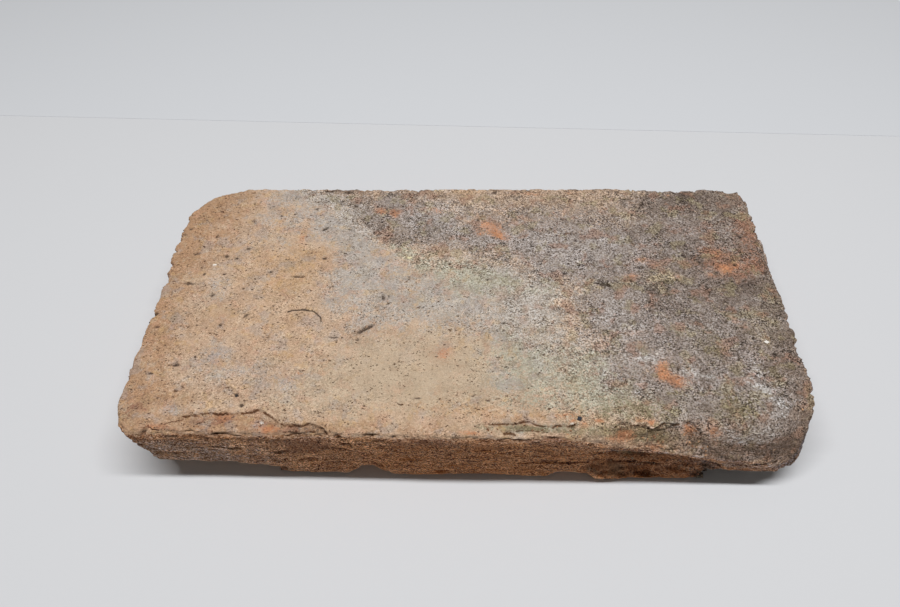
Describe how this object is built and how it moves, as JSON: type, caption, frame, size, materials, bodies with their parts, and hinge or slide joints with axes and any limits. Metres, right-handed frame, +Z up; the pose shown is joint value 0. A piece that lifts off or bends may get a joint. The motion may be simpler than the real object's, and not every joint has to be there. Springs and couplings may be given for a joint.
{
  "type": "clay brick",
  "caption": "Thin hand-moulded fired clay brick with worn arrises, broken corners and lapped folds along one long edge.",
  "frame": {"origin": "middle of the brick's footprint, on the lower bed that it lies on", "axes": "+X along the length, +Y across the width from the chipped front stretcher to the back one, +Z up through the thickness"},
  "size_m": [0.2792, 0.1436, 0.036],
  "materials": {
    "clay": "matte, sandy, weathered"
  },
  "bodies": {
    "root": {"brick": "clay"}
  },
  "joints": []
}
